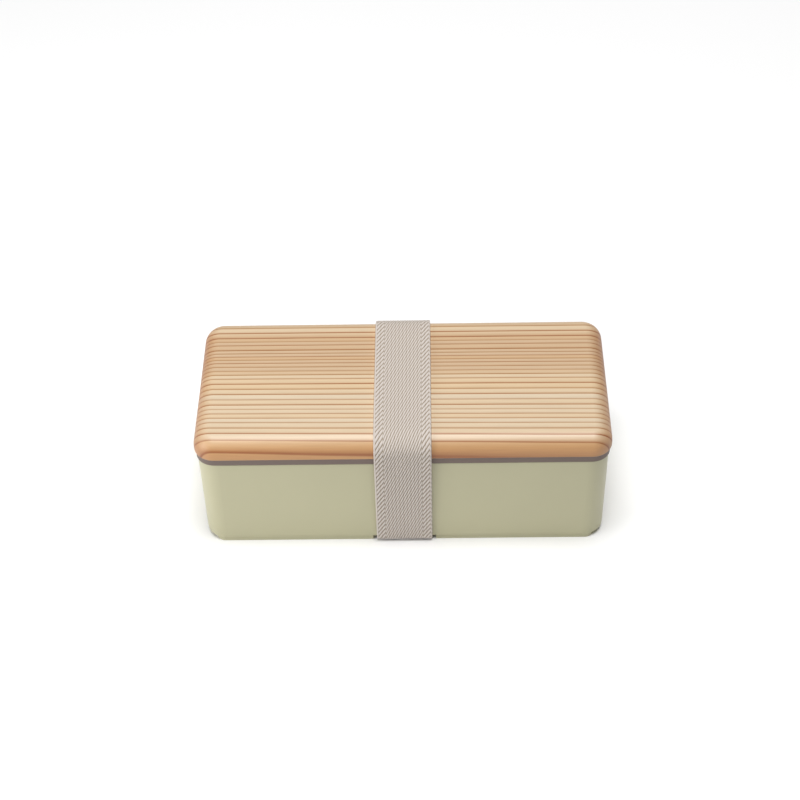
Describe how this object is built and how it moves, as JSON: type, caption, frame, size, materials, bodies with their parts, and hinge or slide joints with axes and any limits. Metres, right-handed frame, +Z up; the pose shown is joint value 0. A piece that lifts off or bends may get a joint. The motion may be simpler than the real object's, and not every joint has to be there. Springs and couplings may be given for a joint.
{
  "type": "bento lunch box",
  "caption": "Rectangular lunch box with a solid wooden lid on a gasketed frame, a sliding divider inside and an elastic belt round the middle.",
  "frame": {"origin": "on the table, under the centre of the closed box", "axes": "+Z up, +X along the box's length to the right, the front is at -Y"},
  "size_m": [0.2, 0.0958, 0.0704],
  "materials": {
    "box_body": "satin sage",
    "divider": "satin sage",
    "lid_frame": "matt warm grey",
    "lid_gasket": "translucent white silicone",
    "wooden_lid": "semi-matt clear-coated cedar",
    "belt_top_span": "twill-woven elastic",
    "belt_lower_loop": "twill-woven elastic",
    "belt_stitches": "polyester thread"
  },
  "bodies": {
    "box": {"box_body": "box_body"},
    "divider": {"divider": "divider"},
    "lid": {"wooden_lid": "wooden_lid", "lid_frame": "lid_frame", "lid_gasket": "lid_gasket"},
    "belt": {"belt_lower_loop": "belt_lower_loop", "belt_stitches": "belt_stitches"},
    "belt_top": {"belt_top_span": "belt_top_span"}
  },
  "joints": [
    {"name": "lid_lift", "type": "slide", "parent": "box", "child": "lid", "axis": [0, 0, 1], "range_m": [0, 0.045]},
    {"name": "divider_slide", "type": "slide", "parent": "box", "child": "divider", "axis": [1, 0, 0], "range_m": [-0.105, 0.05]},
    {"name": "belt_slide", "type": "slide", "parent": "box", "child": "belt", "axis": [1, 0, 0], "range_m": [-0.12, 0.12], "deforming": ["belt_lower_loop"]},
    {"name": "belt_stretch", "type": "slide", "parent": "belt", "child": "belt_top", "axis": [0, 0, 1], "range_m": [0, 0.045], "deforming": ["belt_lower_loop", "belt_stitches"]}
  ],
  "couplings": [
    {"joint": "belt_stretch", "follows": "lid_lift", "ratio": 1}
  ]
}
